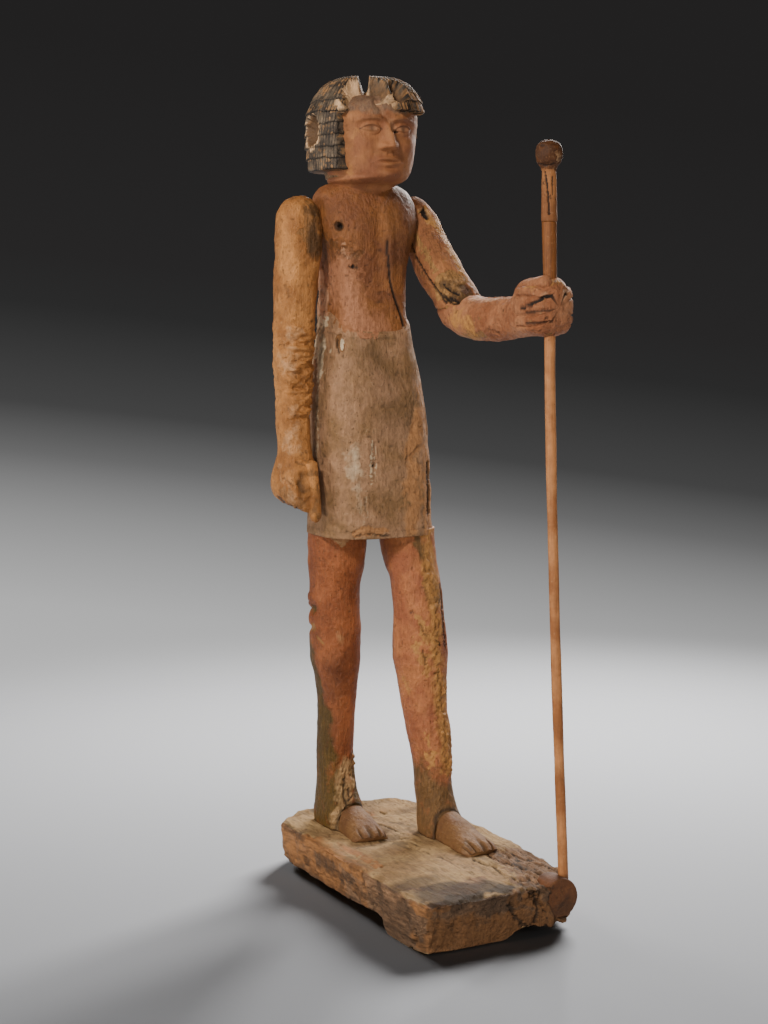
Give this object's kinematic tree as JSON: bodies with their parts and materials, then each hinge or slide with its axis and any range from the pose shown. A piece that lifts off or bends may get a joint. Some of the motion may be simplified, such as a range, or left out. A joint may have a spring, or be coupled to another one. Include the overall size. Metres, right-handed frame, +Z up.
{
  "type": "painted wooden statue",
  "caption": "Striding figure of painted wood with a short curled wig and a long kilt, holding a staff, on an oblong wooden base.",
  "frame": {"origin": "middle of the base's length and width, on its underside", "axes": "+Z up, along the figure's height; the figure faces -Y and its own left is +X"},
  "size_m": [0.204, 0.337, 0.808],
  "materials": {
    "base_wood": "weathered hardwood with remnants of dark paint, matt",
    "plug_wood": "dark weathered end grain, matt",
    "figure_paint": "worn red-brown skin paint, cream gesso kilt and black wig on carved wood, matt",
    "right_arm_wood": "golden bare wood with worn paint, matt",
    "left_arm_wood": "worn red-brown paint over split wood, matt",
    "left_hand_wood": "worn red-brown paint over wood, matt",
    "foot_wood": "bare grey-pink wood, matt",
    "staff_wood": "smooth brown stick, low sheen"
  },
  "bodies": {
    "root": {"base": "base_wood", "base_plug": "plug_wood", "figure": "figure_paint", "right_arm": "right_arm_wood", "left_upper_arm": "left_arm_wood", "left_forearm": "left_hand_wood", "right_foot_front": "foot_wood", "left_foot_front": "foot_wood", "staff_head": "staff_wood", "staff_shaft": "staff_wood"}
  },
  "joints": []
}
